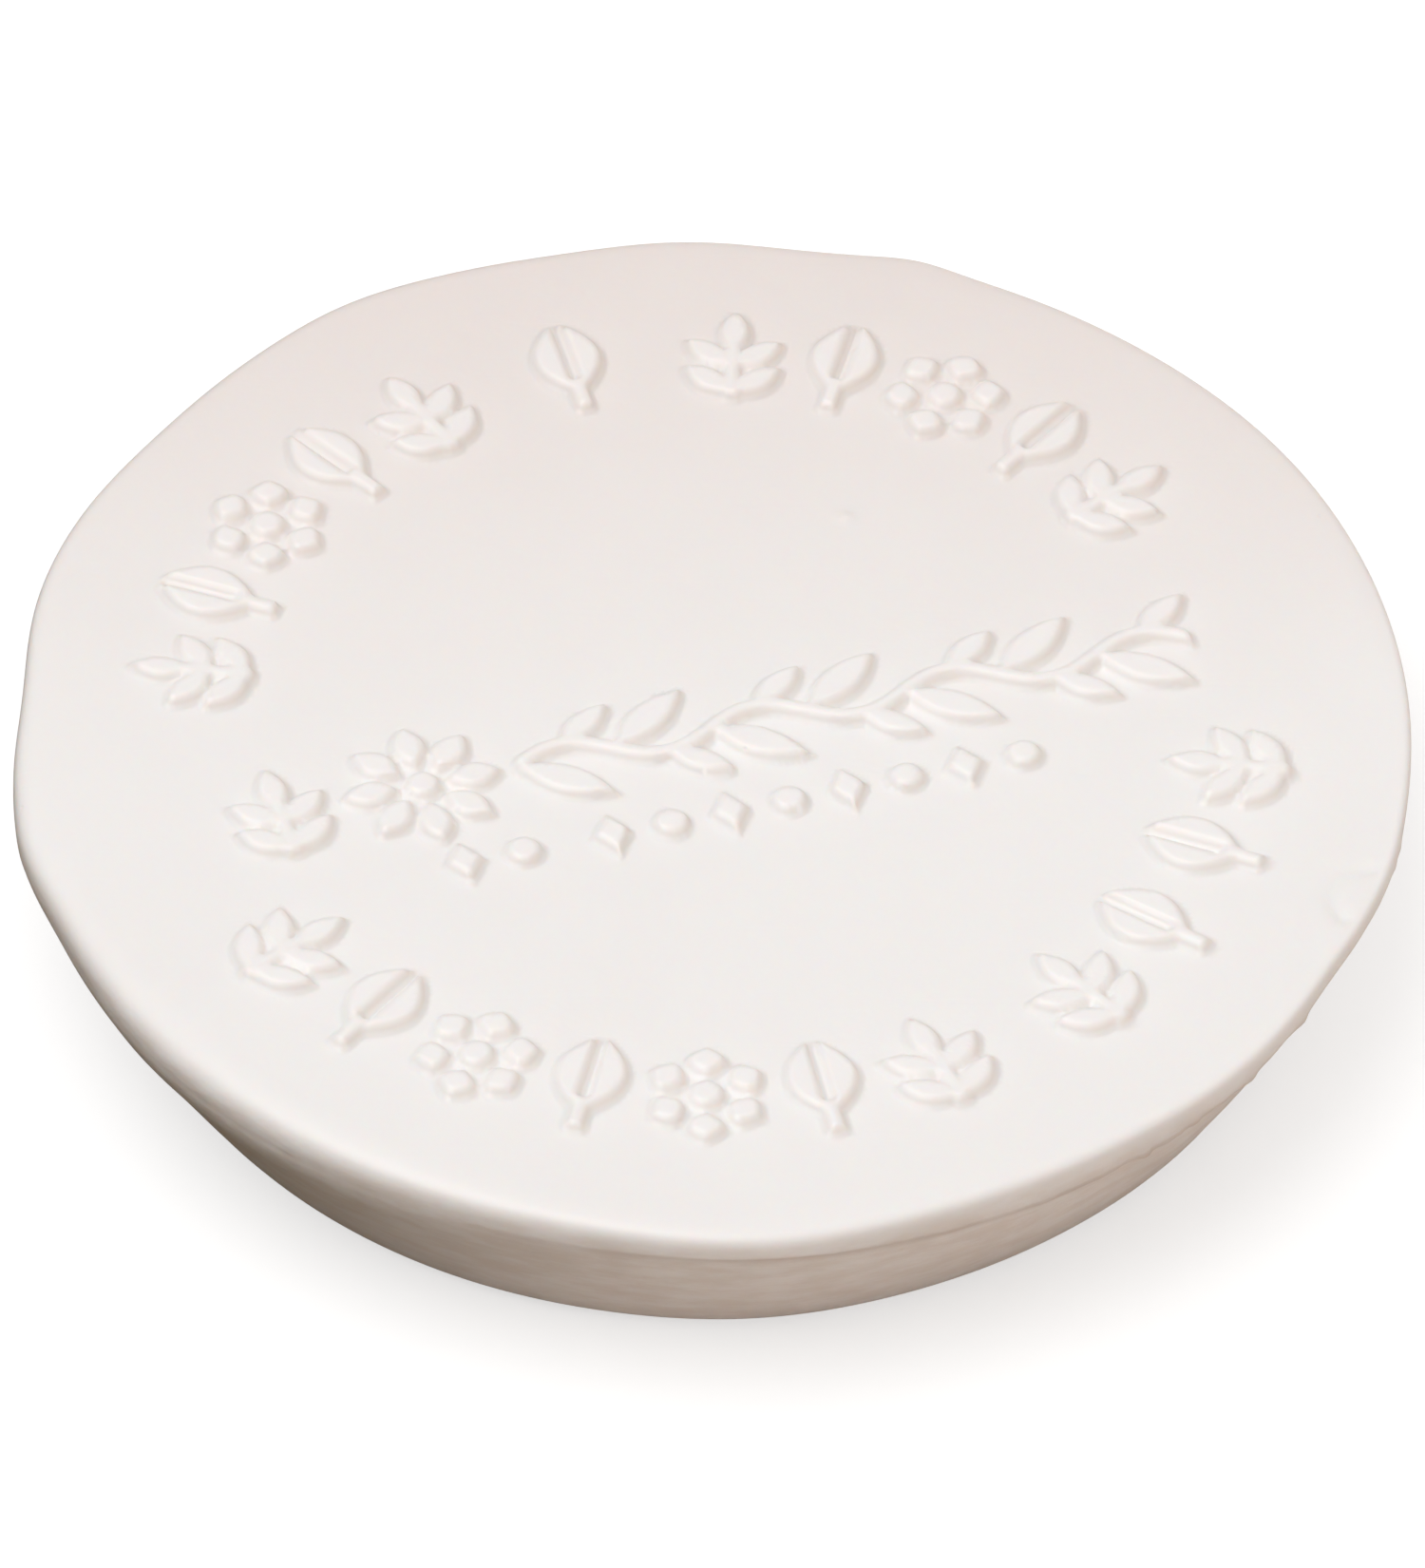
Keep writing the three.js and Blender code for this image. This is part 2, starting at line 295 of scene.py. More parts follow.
def rounded(along, across):
    """Distance from a shape with rounded corners, out of the distances beyond its ends and its sides.

    Both are measured from a core that is smaller by the corner's radius: the hypotenuse of what is
    above 0, plus the larger where both are below 0, less the radius.
    """
    along, across = along + CORNER, across + CORNER
    outside = np.hypot(np.maximum(along, 0), np.maximum(across, 0))
    return outside + np.minimum(np.maximum(along, across), 0) - CORNER


def oval(u, v, length, half_width):
    """Distance from a parabola of height 4 w t(1 - t), with t = u / length: v above it, over its slope."""
    t = u / length
    slope = 4 * half_width * (1 - 2 * t) / length
    return (v - 4 * half_width * t * (1 - t)) / np.hypot(1, slope)


def leaf(foot, heading, length, width):
    """A pointed oval: a parabola on each side of a straight line."""
    return Mark(foot, heading, lambda u, v: oval(u, np.abs(v), length, width / 2))


def blade(foot, heading, length, half_width):
    """Two half ovals, one on either side of a straight vein."""

    def distance(u, v):
        beside = np.abs(v) - VEIN_GROOVE / 2
        return rounded(-beside, oval(u, beside, length, half_width))

    return Mark(foot, heading, distance)


def stem(foot, heading, length):
    """A straight bar with rounded ends."""

    def distance(u, v):
        return rounded(np.abs(u - length / 2) - length / 2, np.abs(v) - STEM_WIDTH / 2)

    return Mark(foot, heading, distance)


def bead(foot):
    """A round dot: the distance to its middle, less its radius."""
    return Mark(foot, 0, lambda u, v: np.hypot(u, v) - BEAD_RADIUS)


def lozenge(foot, width, height):
    """A rhombus: (b |u| + a |v| - a b) / hypotenuse of its half diagonals a and b."""
    a, b = width / 2, height / 2
    return Mark(foot, 0, lambda u, v: (b * np.abs(u) + a * np.abs(v) - a * b) / math.hypot(a, b))


def vine(foot, length, pace):
    """A stem that sways: the height above a sine line, times the cosine of its slope, less half a stem."""

    def distance(u, v):
        slope = BRANCH_SWAY * pace * np.cos(pace * u)
        beside = np.abs(v - BRANCH_SWAY * np.sin(pace * u)) / np.hypot(1, slope)
        return rounded(np.abs(u - length / 2) - length / 2, beside - STEM_WIDTH / 2)

    return Mark(foot, 0, distance)


def flower(middle, radius, petals):
    """Petals round a bead, with a groove between them and the bead."""
    root = BEAD_RADIUS + PETAL_GROOVE
    width = (root + radius) * math.pi / petals - PETAL_GROOVE
    headings = UP + 2 * math.pi * np.arange(petals) / petals
    ring = [leaf(middle + root * complex(cis(h)), h, radius - root, width) for h in headings]
    return [*ring, bead(middle)]


def sprig(width, height):
    """A stem with two pairs of leaves and one more at its tip."""
    length = width / 2 / math.cos(SPRIG_LEAN)
    leaves = [
        leaf(1j * height * level, heading, length, LEAF_WIDTH)
        for level in SPRIG_LEVELS
        for heading in (SPRIG_LEAN, math.pi - SPRIG_LEAN)
    ]
    tip = leaf(1j * (height - length), UP, length, LEAF_WIDTH)
    return [stem(0, UP, height * SPRIG_STEM), *leaves, tip]


def broad_leaf(width, height):
    """A blade on a stalk that runs a little way into it."""
    stalk = height * BLADE_STALK
    halves = blade(1j * stalk, UP, height - stalk, width * BLADE_FULLNESS / 2)
    return [halves, stem(0, UP, stalk + STEM_WIDTH)]


def blossom(width, height):
    """A flower as wide as its room and height allow."""
    return flower(0.5j * height, min(width * BLOSSOM_SPREAD, height) / 2, BLOSSOM_PETALS)


# Each motif stands on y = 0, centred on x = 0.
MOTIFS = {
    "sprig": sprig,
    "broad_leaf": broad_leaf,
    "blossom": blossom,
    "bead": lambda width, height: [bead(0.5j * height)],
    "lozenge": lambda width, height: [lozenge(0.5j * height, width, height)],
}


def set_out(groups, span):
    """Pitch, and (name, place) of each motif over a span centred on 0, with more room between groups."""
    names = [(name, g) for g, group in enumerate(groups) for name in group]
    in_pitches = [i + g * GROUP_GAP for i, (name, g) in enumerate(names)]
    pitch = span / in_pitches[-1]
    return pitch, [(name, at * pitch - span / 2) for (name, g), at in zip(names, in_pitches)]


def garland(groups, middle, outward):
    """Motifs along the ring, standing outwards (1) or inwards (-1), in line from left to right."""
    ring = CAKE_RADIUS - GARLAND_MARGIN - GARLAND_HEIGHT / 2
    foot = ring - outward * GARLAND_HEIGHT / 2
    pitch, places = set_out(groups, GARLAND_SPAN)
    marks = []
    for name, at in places:
        angle = middle - outward * at
        motif = MOTIFS[name](pitch * ring - MOTIF_GAP, GARLAND_HEIGHT)
        marks += placed(motif, foot * complex(cis(angle)), angle - outward * UP)
    return marks


def branch(start, end):
    """A vine with a long leaf under each bend and a short leaf over it, on alternate sides."""
    bends = round((end - start) / BEND_LENGTH)
    bend = (end - start) / bends
    long_leaf = FRIEZE_HEIGHT / 2 / math.sin(BRANCH_LEAN)
    short_leaf = (FRIEZE_HEIGHT / 2 - BRANCH_SWAY) / math.sin(BRANCH_LEAN)
    marks = [vine(start, end - start, math.pi / bend)]
    for i in range(bends):
        side = -1 if i % 2 else 1
        foot = start + i * bend
        crest = foot + bend / 2 + 1j * side * BRANCH_SWAY
        marks.append(leaf(foot, -side * BRANCH_LEAN, long_leaf, LONG_LEAF_WIDTH))
        marks.append(leaf(crest, side * BRANCH_LEAN, short_leaf, LEAF_WIDTH))
    return marks


def frieze():
    """From left to right: a sprig, a rosette and the branch."""
    half = CAKE_RADIUS - FRIEZE_MARGIN
    rosette = -half + SPRIG_WIDTH + ROSETTE_GAP + ROSETTE_RADIUS
    marks = [
        *placed(sprig(SPRIG_WIDTH, FRIEZE_HEIGHT), SPRIG_WIDTH / 2 - half - 0.5j * FRIEZE_HEIGHT, 0),
        *flower(rosette, ROSETTE_RADIUS, ROSETTE_PETALS),
        *branch(rosette + ROSETTE_RADIUS + ROSETTE_GAP, half),
    ]
    return placed(marks, -1j * FRIEZE_DROP, 0)


def row():
    """Lozenges and beads in turn, under the frieze."""
    foot = -1j * (FRIEZE_DROP + ROW_DROP + ROW_HEIGHT / 2)
    span = 2 * (CAKE_RADIUS - ROW_MARGIN) - LOZENGE_WIDTH
    marks = []
    for name, at in set_out(ROW_GROUPS, span)[1]:
        marks += placed(MOTIFS[name](LOZENGE_WIDTH, ROW_HEIGHT), at + foot, 0)
    return marks


def ornament():
    """Every mark on the cake, in the cake's own place and turn."""
    marks = [*garland(UPPER_GROUPS, UP, 1), *garland(LOWER_GROUPS, -UP, -1), *frieze(), *row()]
    return placed(marks, 0, RELIEF_TURN)


def ornament_distance(marks, points):
    """Distance of plan points from the ornament's outline, below 0 inside it.

    It is the least of the marks' distances. Two that differ by less than WEB blend: the lower one, less
    WEB times h(1 - h), where h runs from 0 to 1 as they change places.
    """
    nearest = np.full(points.shape, CAKE_RADIUS)
    for mark in marks:
        local = (points - mark.foot) * complex(cis(-mark.heading))
        distance = mark.distance(local.real, local.imag)
        h = np.clip(0.5 + (nearest - distance) / (2 * WEB), 0, 1)
        nearest = nearest + (distance - nearest) * h - WEB * h * (1 - h)
    return nearest


def on_contours(marks, points):
    """Plan points moved onto the nearest contour of the walls, so that no outline is stepped.

    A point within one and a half contour steps of an outline moves along the slope of the distance, by
    the distance's remainder after rounding it to whole steps. It stays where that misses the contour by
    more than 0.3 of the move, as it does in a sharp corner.
    """
    distance = ornament_distance(marks, points)
    slope = [
        ornament_distance(marks, points + step) - ornament_distance(marks, points - step)
        for step in (PROBE, 1j * PROBE)
    ]
    uphill = (slope[0] + 1j * slope[1]) / (2 * PROBE)
    remainder = np.round(distance / CONTOUR_STEP) * CONTOUR_STEP - distance
    near = np.abs(distance) < 1.5 * CONTOUR_STEP
    moved = points + np.where(near, remainder, 0) * uphill
    missed = np.abs(ornament_distance(marks, moved) - distance - remainder)
    return np.where(missed < 0.3 * np.abs(remainder), moved, points)


def split_areas(points, faces):
    """For each of a face's two diagonals, the smaller of the two areas beside it, doubled.

    The area that a diagonal cuts off at a corner is half the cross product of the sides that meet there.
    """
    corners = points[faces]
    onward = np.roll(corners, -1, axis=1) - corners
    backward = np.roll(corners, 1, axis=1) - corners
    areas = (onward.conj() * backward).imag
    return np.minimum(areas[:, 1], areas[:, 3]), np.minimum(areas[:, 0], areas[:, 2])


def unfolded(before, after, faces):
    """Moved plan points, less the moves that would turn a face over or all but flatten it.

    It goes over the faces three times, because putting a point back may flatten a face beside it.
    """
    points = after.copy()
    for _ in range(3):
        flat = np.maximum(*split_areas(points, faces)) < LEAST_AREA
        back = faces[flat].ravel()
        points[back] = before[back]
    return points


# --- The skin ---


def square_to_disc(squares):
    """Plan points of a square grid bent into a unit disc, and its outline anticlockwise from -45 degrees.

    The larger of a point's two coordinates is its distance from the middle, and the smaller one over the
    larger turns it by up to 45 degrees from that axis.
    """
    ticks = np.linspace(-1, 1, squares + 1)
    a, b = np.meshgrid(ticks, ticks)
    across = np.abs(a) >= np.abs(b)
    longer = np.where(across, a, b)
    shorter = np.where(across, b, a)
    turn = math.pi / 4 * shorter / np.where(longer == 0, 1, longer)
    points = longer * cis(np.where(across, turn, UP - turn))
    index = np.arange(points.size).reshape(points.shape)
    outline = np.concatenate([index[:-1, -1], index[-1, :0:-1], index[:0:-1, 0], index[0, :-1]])
    corners = (index[:-1, :-1], index[:-1, 1:], index[1:, 1:], index[1:, :-1])
    return points.ravel(), outline, np.stack(corners, axis=-1).reshape(-1, 4)


def quads(index):
    """Faces between closed rings of points, each ring outside the one before it."""
    after = np.roll(index, -1, axis=1)
    return np.stack([index[:-1], index[1:], after[1:], after[:-1]], axis=-1).reshape(-1, 4)


def field_waves(points):
    """The field's slight unevenness: the sum of long sine waves that cross each other."""
    return sum(
        height * MM * np.sin(2 * math.pi * (points / MM * cis(-way)).real / length + start)
        for height, length, way, start in FIELD_WAVES
    )


def handling_marks(points):
    """Dents and raised dots: a height times e to the minus square of the way off the ring, in widths."""
    return sum(
        height * MM * np.exp(-(((np.abs(points / MM - middle) - ring) / width) ** 2))
        for middle, ring, width, height in HANDLING_SPOTS
    )


def top_height(points, distance):
    """Height of the top: the field, its waves and marks, and the relief eased over its walls."""
    risen = RELIEF_HEIGHT * eased((SHOULDER - distance) / (2 * SHOULDER))
    return THICKNESS + risen + field_waves(points) + handling_marks(points)


def rim_radius(theta):
    """Radius of the edge: the cake's, plus each bulge times its swell."""
    return CAKE_RADIUS + sum(out * swell(theta, at, width) for at, width, out in RIM_BULGES)


def edge_character(theta):
    """Roll width, drop and fullness, and the land's height and step, which change round the rim.

    On the front left the roll is broad and runs straight into the side. On the front right it ends in a
    narrow upright land, and the side starts a small step further in. Each stretch adds its share of the
    usual size, or its own height, times its swell.
    """
    front_left = swell(theta, *FRONT_LEFT)
    front = swell(theta, *FRONT)
    front_right = swell(theta, *FRONT_RIGHT)
    right = swell(theta, *RIGHT)
    roll = ROLL_WIDTH * (1 + 0.5 * front_left - 0.55 * right)
    drop = ROLL_DROP * (1 + 0.45 * front_left - 0.1 * front - 0.35 * right)
    fullness = ROLL_FULLNESS + 1.2 * (1 - front_left)
    joined = np.clip(1 - 1.3 * front_left, 0, 1)
    land = LEAST_LAND + 0.5 * MM * joined * (1 - 0.8 * front) * (1 - 0.7 * right)
    land = land + 0.8 * MM * swell(theta, *TALL_LAND)
    step = 0.3 * MM * joined + 0.25 * MM * front_right
    return roll, drop, fullness, land, step


def crumbs(theta):
    """Rough flash along the foot of the land: seeded swells, most of them on the front right."""
    rng = np.random.default_rng(7)
    rough = np.zeros_like(theta)
    for middle, spread, count, size in CRUMBS:
        places = rng.normal(middle, spread, count)
        widths = rng.uniform(0.45, 1.0, count)
        heights = rng.uniform(-0.4, 1, count) * size
        for at, width, height in zip(places, widths, heights):
            rough += height * swell(theta, at, width)
    return rough


def edge_rings(theta):
    """Radii and heights of the rings from the roll to the base, as arrays of (ring, angle).

    The roll is a quarter of a superellipse, the land an upright strip, the side a slightly bowed line that
    leans in by its draft, and the foot a round between the side and the base. On the front left the side
    starts upright: it stands out by its lean times s(1 - s)^6 of its height, s down it.
    """
    rim = rim_radius(theta)
    roll, drop, fullness, land, step = edge_character(theta)
    quarter = (UP * np.arange(1, ROLL_RINGS + 1) / ROLL_RINGS)[:, None]
    out, down = (np.clip(wave, 0, 1) ** (2 / fullness) for wave in (np.sin(quarter), np.cos(quarter)))
    roll_rings = (rim - roll * (1 - out), THICKNESS - drop * (1 - down))

    rough = crumbs(theta)
    down = (np.arange(1, LAND_RINGS + 1) / LAND_RINGS)[:, None]
    land_rings = (rim + rough * down**2 - LAND_TAPER * land * down, THICKNESS - drop - land * down)
    seam = THICKNESS - drop - land - SEAM_HEIGHT
    side_top = rim - step + CRUMB_FOLLOW * rough

    foot_middle = CAKE_RADIUS - (THICKNESS - ROLL_DROP - FOOT_ROUND) * math.tan(SIDE_DRAFT)
    foot_middle -= FOOT_ROUND / math.cos(SIDE_DRAFT)
    bends = (-SIDE_DRAFT - (UP - SIDE_DRAFT) * np.arange(FOOT_RINGS + 1) / FOOT_RINGS)[:, None]
    around = FOOT_WANDER * np.sin(3 * theta + 1) + FOOT_FOLLOW * (rim - CAKE_RADIUS)
    foot_rings = (
        foot_middle + FOOT_ROUND * np.cos(bends) + around,
        FOOT_ROUND * (1 + np.sin(bends)) + 0 * theta,
    )
    share = ((np.arange(SIDE_RINGS) / SIDE_RINGS) ** 1.4)[:, None]
    bow = SIDE_BOW * np.sin(math.pi * share)
    upright = math.tan(SIDE_DRAFT) * (seam - foot_rings[1][0]) * share * (1 - share) ** 6
    bow = bow + swell(theta, *FRONT_LEFT) * upright
    lumps = SIDE_LUMPS * np.sin(math.pi * share) * np.sin(9 * theta + 7 * share) * np.sin(23 * theta)
    side_rings = (
        side_top + (foot_rings[0][0] - side_top) * share + bow + lumps,
        seam + (foot_rings[1][0] - seam) * share,
    )
    inward = 1 - (np.arange(1, BASE_RINGS + 1) / (BASE_RINGS + 1))[:, None]
    base_rings = (foot_rings[0][-1] * inward, np.zeros((BASE_RINGS, theta.size)))
    groups = (roll_rings, land_rings, side_rings, foot_rings, base_rings)
    return [np.concatenate([group[axis] for group in groups]) for axis in (0, 1)]


def ring_angles(count):
    """Plan angles of a ring's points, which start an eighth of a turn before the die's own +X."""
    return RELIEF_TURN + 2 * math.pi * (np.arange(count) / count - 1 / 8)


def surface_shares(marks, top, edge_heights):
    """Shares from 0 to 1 at every point of the skin: the top's, the edge rings' and the base's pole.

    "flank" is 1 on the side; the walls' share is 1 on the relief's walls that face +X, where it carries
    painted shade, as they face away from the key light; "raised" is 1 on the tops of the relief; and
    "seam" is up to 1 along the line between the land and the side, where it carries a painted shadow under
    the land. The seam is darkest on the front right, 0.3 of that elsewhere, and fades out on the front
    left.
    """
    shares = {share: np.zeros(top.size + edge_heights.size + 1) for share in SURFACE_SHARES}
    shares["flank"][top.size :] = np.append(eased((THICKNESS - edge_heights) / FLANK_FULL), 1)

    distance = ornament_distance(marks, top)
    rightward = (ornament_distance(marks, top + PROBE) - distance) / PROBE
    shares["shaded_wall"][: top.size] = np.exp(-((distance / SHOULDER) ** 2)) * eased((1 + rightward) / 2)
    shares["raised"][: top.size] = eased((SHOULDER - distance) / (2 * SHOULDER))

    theta = ring_angles(edge_heights.shape[1])
    # Painted shadow under the land: darkest on the front right, faded out on the front left
    shaded = (0.3 + 0.7 * swell(theta, *DARK_SEAM)) * (1 - eased(1.6 * swell(theta, *UNSHADOWED_SEAM)))
    above = top.size + (ROLL_RINGS + LAND_RINGS - 2) * theta.size
    shares["seam"][above : above + len(SEAM_FADE) * theta.size] = np.outer(SEAM_FADE, shaded).ravel()
    return shares


def skin():
    """Vertices, faces and surface shares of the whole cake as one closed skin."""
    marks = ornament()
    disc, outline, disc_faces = square_to_disc(GRID)
    disc = disc * DISC_RADIUS * cis(RELIEF_TURN)
    theta = ring_angles(outline.size)

    band = np.linspace(DISC_RADIUS, BAND_RADIUS, BAND_RINGS + 1)[1:, None] + 0 * theta
    roll_start = rim_radius(theta) - edge_character(theta)[0]
    margin_share = (np.arange(1, MARGIN_RINGS + 1) / MARGIN_RINGS)[:, None]
    margin = BAND_RADIUS + (roll_start - BAND_RADIUS) * margin_share
    field = np.concatenate([band, margin]) * cis(theta)

    laid = np.concatenate([disc, field.ravel()])
    field_index = disc.size + np.arange(field.size).reshape(field.shape)
    field_faces = quads(np.vstack([outline, field_index]))
    top_faces = np.vstack([disc_faces, field_faces])
    top = unfolded(laid, on_contours(marks, laid), top_faces)
    heights = top_height(top, ornament_distance(marks, top))
    edge_radii, edge_heights = edge_rings(theta)
    edge = (edge_radii * cis(theta)).ravel()

    plan = np.concatenate([top, edge, [0]])
    height = np.concatenate([heights, edge_heights.ravel(), [0]])
    vertices = np.column_stack([plan.real, plan.imag, height])

    first, second = split_areas(top, top_faces)
    rise, other_rise = (np.abs(heights[top_faces[:, i]] - heights[top_faces[:, i + 2]]) for i in (0, 1))
    better = np.where(np.minimum(first, second) < LEAST_AREA, second > first, other_rise < rise)
    top_faces = np.where(better[:, None], np.roll(top_faces, 1, axis=1), top_faces)
    edge_index = top.size + np.arange(edge.size).reshape(edge_radii.shape)
    edge_faces = quads(np.vstack([field_index[-1], edge_index]))
    faces = np.vstack([top_faces, edge_faces])
    pole = np.full(theta.size, len(vertices) - 1)
    fans = np.column_stack([edge_index[-1], pole, np.roll(edge_index[-1], -1)])
    return vertices, faces.tolist() + fans.tolist(), surface_shares(marks, top, edge_heights)


# --- Materials ---


def add_node(tree, kind, inputs=(), **settings):
    """Adds a shader node. Each input is a socket's name or number with a value or another's output."""
    made = tree.nodes.new(kind)
    for name, value in settings.items():
        setattr(made, name, value)
    for key, value in dict(inputs).items():
        if isinstance(value, bpy.types.NodeSocket):
            tree.links.new(value, made.inputs[key])
        else:
            made.inputs[key].default_value = value
    return made


def mixed(tree, factor, first, second):
    """A colour between two colours."""
    inputs = {0: factor, 6: first, 7: second}
    return add_node(tree, "ShaderNodeMix", inputs, data_type="RGBA").outputs[2]


def math_of(tree, operation, first, second, third=0.0):
    """One arithmetic step on two or three numbers."""
    inputs = {0: first, 1: second, 2: third}
    return add_node(tree, "ShaderNodeMath", inputs, operation=operation).outputs[0]


def eased_step(tree, value, start, end):
    """A share that eases from 0 to 1 as a value runs from start to end."""
    inputs = {"Value": value, "From Min": start, "From Max": end}
    return add_node(tree, "ShaderNodeMapRange", inputs, interpolation_type="SMOOTHSTEP").outputs["Result"]


def noise(tree, vector, size, detail=2.0, roughness=0.5):
    """Noise from 0 to 1 whose patches are about a size across."""
    inputs = {"Vector": vector, "Scale": 1 / size, "Detail": detail, "Roughness": roughness}
    return add_node(tree, "ShaderNodeTexNoise", inputs).outputs["Fac"]


def soap_material(look):
    """Waxy hard soap: slightly translucent, mottled at random from pink-white to ivory, with a satin skin,
    and with painted shade and light that make it darker and pinker towards the back and lighter towards
    the front.

    The relief's tops, its +X walls, the side and the seam each mix in their own colour by their share. On
    the +X walls that colour is painted shade, on the side it is partly painted shade and partly the soap's
    own clouds, and on the seam it is a painted shadow.
    The bump is the side's drag marks plus each other layer times its depth.
    """
    material = bpy.data.materials.new("hard_soap")
    material.use_nodes = True
    tree = material.node_tree
    shader = tree.nodes["Principled BSDF"]
    place = add_node(tree, "ShaderNodeTexCoord").outputs["Object"]
    flank, shaded_wall, raised, seam = (
        add_node(tree, "ShaderNodeAttribute", attribute_name=share).outputs["Fac"]
        for share in SURFACE_SHARES
    )

    back = add_node(tree, "ShaderNodeSeparateXYZ", {0: place}).outputs["Y"]
    # Painted shade and light: darker and pinker towards the back, lighter towards the front; the noise
    # patches are the soap's own mottling
    painted_falloff = eased_step(tree, back, SHADED_BACK, LIT_FRONT)
    patchy = noise(tree, place, PATCH_SIZE, detail=3)
    patches = math_of(tree, "MULTIPLY_ADD", patchy, PATCH_STRENGTH, -PATCH_STRENGTH / 2)
    body = mixed(tree, math_of(tree, "ADD", painted_falloff, patches), (*look.colour, 1), (*look.ivory, 1))
    pressed = mixed(tree, math_of(tree, "MULTIPLY", raised, PRESSED_SHARE), body, (*look.pressed, 1))
    # Painted shade: a warm, darker colour on the relief's walls that face +X, away from the key light
    wall_shaded = mixed(tree, math_of(tree, "MULTIPLY", shaded_wall, look.wall_shade_share), pressed, (*look.wall_shade_colour, 1))
    drag = add_node(tree, "ShaderNodeMapping", {"Vector": place, "Scale": (1, 1, DRAG_SQUEEZE)}).outputs[0]
    cloud = eased_step(tree, noise(tree, drag, CLOUD_SIZE, detail=5, roughness=0.6), *CLOUD_EDGES)
    tint = math_of(tree, "MULTIPLY_ADD", cloud, CLOUD_TINT, SIDE_SHADE)
    # Partly painted shade: an even darker tint on the side that eases in as the roll turns down, plus the
    # soap's own darker clouds
    shade = math_of(tree, "MULTIPLY", flank, tint)
    clouds_and_side_shade = mixed(tree, shade, wall_shaded, (*look.flank, 1))
    # Painted shadow: a dark line under the land, along the seam
    seam_shadowed = mixed(tree, math_of(tree, "MULTIPLY", seam, look.seam_shadow), clouds_and_side_shade, (*look.seam, 1))
    tree.links.new(seam_shadowed, shader.inputs["Base Color"])

    grain = noise(tree, place, GRAIN_SIZE, detail=3)
    satin = math_of(tree, "MULTIPLY_ADD", grain, SATIN_SPREAD, look.roughness - SATIN_SPREAD / 2)
    tree.links.new(satin, shader.inputs["Roughness"])

    lines = math_of(tree, "MULTIPLY", noise(tree, drag, DRAG_SIZE, detail=5, roughness=0.6), flank)
    pins = add_node(tree, "ShaderNodeTexVoronoi", {"Vector": place, "Scale": 1 / PIT_SPACING})
    pits = eased_step(tree, pins.outputs["Distance"], 0.0, PIT_SHARE)
    smear = add_node(
        tree,
        "ShaderNodeMapping",
        {"Vector": place, "Rotation": (0, 0, SCRATCH_TURN), "Scale": (1, SCRATCH_SQUEEZE, 1)},
    ).outputs[0]
    scratches = eased_step(tree, noise(tree, smear, SCRATCH_SIZE, detail=1), *SCRATCH_EDGES)
    uneven = noise(tree, place, WAVE_SIZE, detail=3)
    layers = ((grain, GRAIN_DEPTH), (pits, PIT_DEPTH), (scratches, SCRATCH_DEPTH), (uneven, WAVE_DEPTH))
    height = lines
    for layer, depth in layers:
        height = math_of(tree, "MULTIPLY_ADD", layer, depth, height)
    inputs = {"Height": height, "Strength": BUMP_STRENGTH, "Distance": BUMP_HEIGHT}
    bump = add_node(tree, "ShaderNodeBump", inputs)
    tree.links.new(bump.outputs[0], shader.inputs["Normal"])

    shader.inputs["Subsurface Weight"].default_value = look.translucency
    shader.inputs["Subsurface Radius"].default_value = SCATTER_COLOURS
    shader.inputs["Subsurface Scale"].default_value = look.scatter
    shader.inputs["Specular IOR Level"].default_value = 0.5
    return material


def floor_material(look):
    """A pale matt floor. What it throws back on the cake is darker and warmer, and dimmer on the left."""
    material = bpy.data.materials.new("pale_floor")
    material.use_nodes = True
    tree = material.node_tree
    shader = tree.nodes["Principled BSDF"]
    place = add_node(tree, "ShaderNodeTexCoord").outputs["Object"]
    across = add_node(tree, "ShaderNodeSeparateXYZ", {0: place}).outputs["X"]
    lit = eased_step(tree, across, DIM_LEFT, LIT_RIGHT)
    thrown = mixed(tree, lit, (*look.shade, 1), (*look.bounce, 1))
    seen = add_node(tree, "ShaderNodeLightPath").outputs["Is Camera Ray"]
    tree.links.new(mixed(tree, seen, thrown, (*look.floor, 1)), shader.inputs["Base Color"])
    tree.links.new(math_of(tree, "MULTIPLY", seen, look.glow), shader.inputs["Emission Strength"])
    shader.inputs["Emission Color"].default_value = (1, 1, 1, 1)
    least, more = FLOOR_ROUGHNESS
    matt = math_of(tree, "MULTIPLY_ADD", noise(tree, place, FLOOR_PATCH), more, least)
    tree.links.new(matt, shader.inputs["Roughness"])
    shader.inputs["Specular IOR Level"].default_value = 0
    return material


# --- Objects ---


def add_mesh(name, vertices, faces, material, shares=None):
    """A smooth-shaded mesh object at the origin, with its place in its mesh."""
    mesh = bpy.data.meshes.new(name)
    mesh.from_pydata(vertices.tolist(), [], faces)
    for share, values in (shares or {}).items():
        mesh.attributes.new(share, "FLOAT", "POINT").data.foreach_set("value", values.astype(np.float32))
    mesh.shade_smooth()
    mesh.validate()
    mesh.materials.append(material)
    made = bpy.data.objects.new(name, mesh)
    bpy.context.scene.collection.objects.link(made)
    return made


